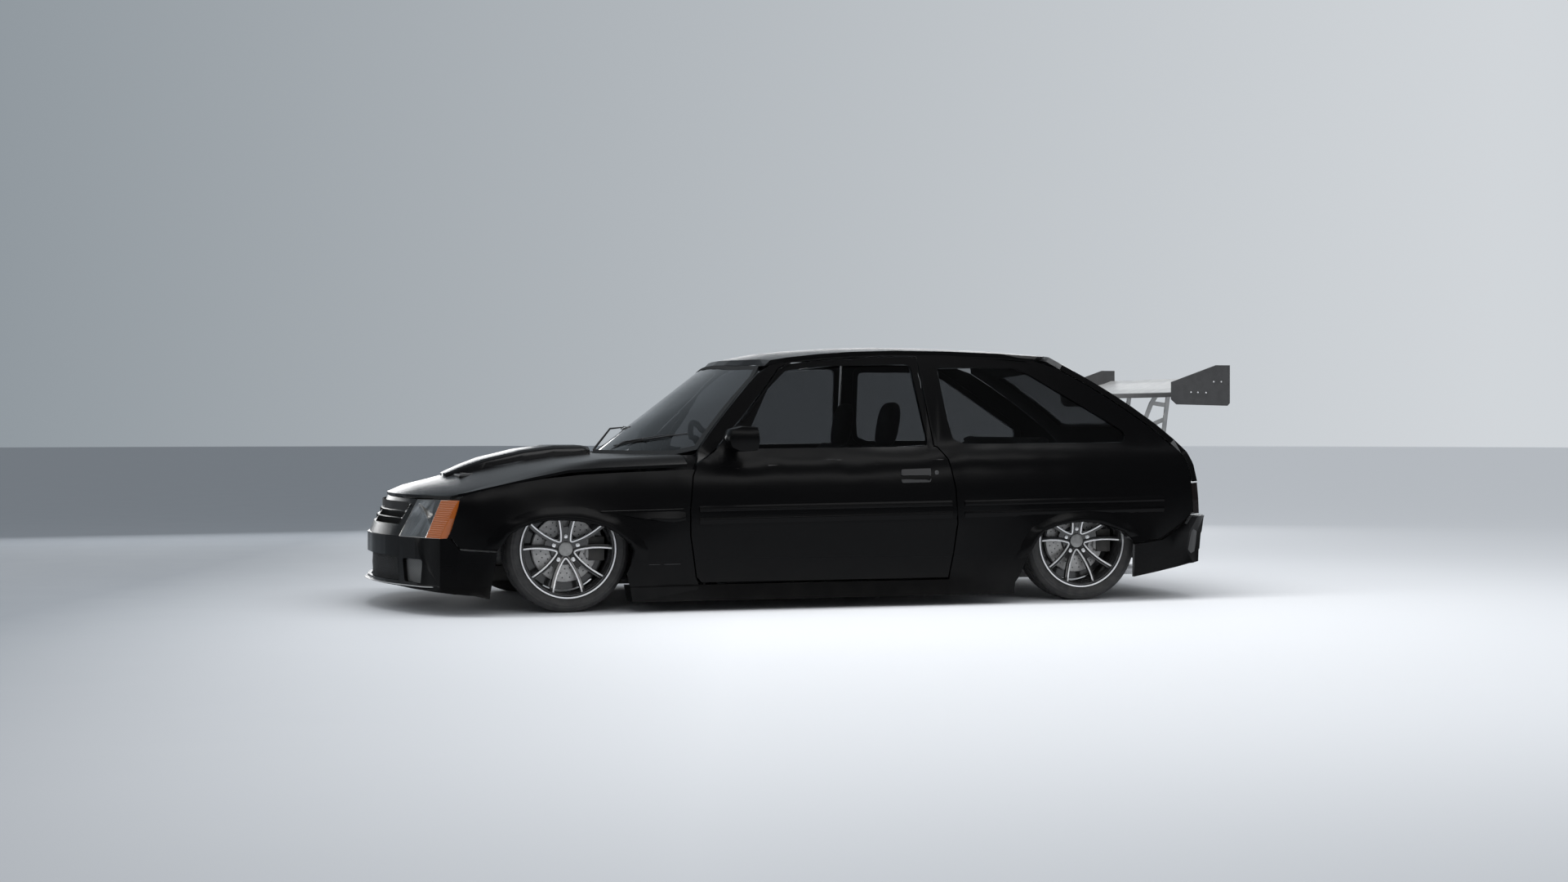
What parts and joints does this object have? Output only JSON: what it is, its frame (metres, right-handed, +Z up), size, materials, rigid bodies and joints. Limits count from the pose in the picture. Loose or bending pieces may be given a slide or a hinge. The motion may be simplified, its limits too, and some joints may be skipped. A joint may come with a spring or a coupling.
{
  "type": "hatchback car",
  "caption": "Lowered compact hatchback with hood scoop, rear wing, V-spoke wheels, opening doors, hood and tailgate, and steered front wheels.",
  "frame": {"origin": "on the ground under the centre of the bounding box", "axes": "+X towards the rear, +Y towards the car's right side, +Z up"},
  "size_m": [3.855, 1.824, 1.139],
  "materials": {
    "black_paint": "gloss",
    "black_plastic": "satin",
    "dark_glass": "polished",
    "headlamp_lens": "polished",
    "amber_lens": "gloss",
    "smoked_lens": "gloss",
    "tyre_rubber": "matte",
    "rim_alloy": "gloss black with machined edges",
    "wing_metal": "satin",
    "underbody": "matte",
    "bare_metal": "satin",
    "seat_fabric": "matte"
  },
  "bodies": {
    "body": {"floor_pan": "underbody", "front_subframe": "underbody", "engine": "underbody", "dashboard": "black_plastic", "rear_bench": "seat_fabric", "exhaust": "bare_metal", "rear_axle": "underbody", "roof": "black_paint", "windscreen": "dark_glass", "cowl": "black_plastic", "front_bumper": "black_paint", "grille": "black_plastic", "rear_bumper": "black_paint", "body_side_left": "black_paint", "quarter_glass_left": "dark_glass", "fender_left": "black_paint", "headlamp_left": "headlamp_lens", "indicator_left": "amber_lens", "tail_lamp_left": "smoked_lens", "seat_left": "seat_fabric", "body_side_right": "black_paint", "quarter_glass_right": "dark_glass", "fender_right": "black_paint", "headlamp_right": "headlamp_lens", "indicator_right": "amber_lens", "tail_lamp_right": "smoked_lens", "seat_right": "seat_fabric"},
    "hood": {"hood": "black_paint"},
    "hatch": {"hatch": "black_paint", "hatch_glass": "dark_glass", "rear_wing": "wing_metal"},
    "door_left": {"door_left": "black_paint", "door_glass_left": "dark_glass"},
    "knuckle_left": {"knuckle_left": "bare_metal"},
    "front_wheel_left": {"front_rim_left": "rim_alloy", "front_tyre_left": "tyre_rubber"},
    "rear_wheel_left": {"rear_rim_left": "rim_alloy", "rear_tyre_left": "tyre_rubber"},
    "door_right": {"door_right": "black_paint", "door_glass_right": "dark_glass"},
    "knuckle_right": {"knuckle_right": "bare_metal"},
    "front_wheel_right": {"front_rim_right": "rim_alloy", "front_tyre_right": "tyre_rubber"},
    "rear_wheel_right": {"rear_rim_right": "rim_alloy", "rear_tyre_right": "tyre_rubber"}
  },
  "joints": [
    {"name": "steer_left", "type": "hinge", "parent": "body", "child": "knuckle_left", "pos_m": [-1.1625, -0.53, 0.15], "axis": [0, 0.2089, 0.9779], "range_deg": [-30, 30]},
    {"name": "front_wheel_spin_left", "type": "hinge", "parent": "knuckle_left", "child": "front_wheel_left", "pos_m": [-1.1625, -0.596, 0.263], "axis": [0, 1, 0], "continuous": true},
    {"name": "rear_wheel_spin_left", "type": "hinge", "parent": "body", "child": "rear_wheel_left", "pos_m": [1.1685, -0.596, 0.263], "axis": [0, 1, 0], "continuous": true},
    {"name": "door_hinge_left", "type": "hinge", "parent": "body", "child": "door_left", "pos_m": [-0.5975, -0.752, 0.35], "axis": [0, 0, -1], "range_deg": [0, 65]},
    {"name": "steer_right", "type": "hinge", "parent": "body", "child": "knuckle_right", "pos_m": [-1.1625, 0.53, 0.15], "axis": [0, -0.2089, 0.9779], "range_deg": [-30, 30]},
    {"name": "front_wheel_spin_right", "type": "hinge", "parent": "knuckle_right", "child": "front_wheel_right", "pos_m": [-1.1625, 0.596, 0.263], "axis": [0, 1, 0], "continuous": true},
    {"name": "rear_wheel_spin_right", "type": "hinge", "parent": "body", "child": "rear_wheel_right", "pos_m": [1.1685, 0.596, 0.263], "axis": [0, 1, 0], "continuous": true},
    {"name": "door_hinge_right", "type": "hinge", "parent": "body", "child": "door_right", "pos_m": [-0.5975, 0.752, 0.35], "axis": [0, 0, 1], "range_deg": [0, 65]},
    {"name": "hood_hinge", "type": "hinge", "parent": "body", "child": "hood", "pos_m": [-0.6125, 0, 0.64], "axis": [0, 1, 0], "range_deg": [0, 50]},
    {"name": "hatch_hinge", "type": "hinge", "parent": "body", "child": "hatch", "pos_m": [1.1135, 0, 1.097], "axis": [0, -1, 0], "range_deg": [0, 75]}
  ],
  "couplings": [
    {"joint": "steer_right", "follows": "steer_left", "ratio": 1}
  ]
}
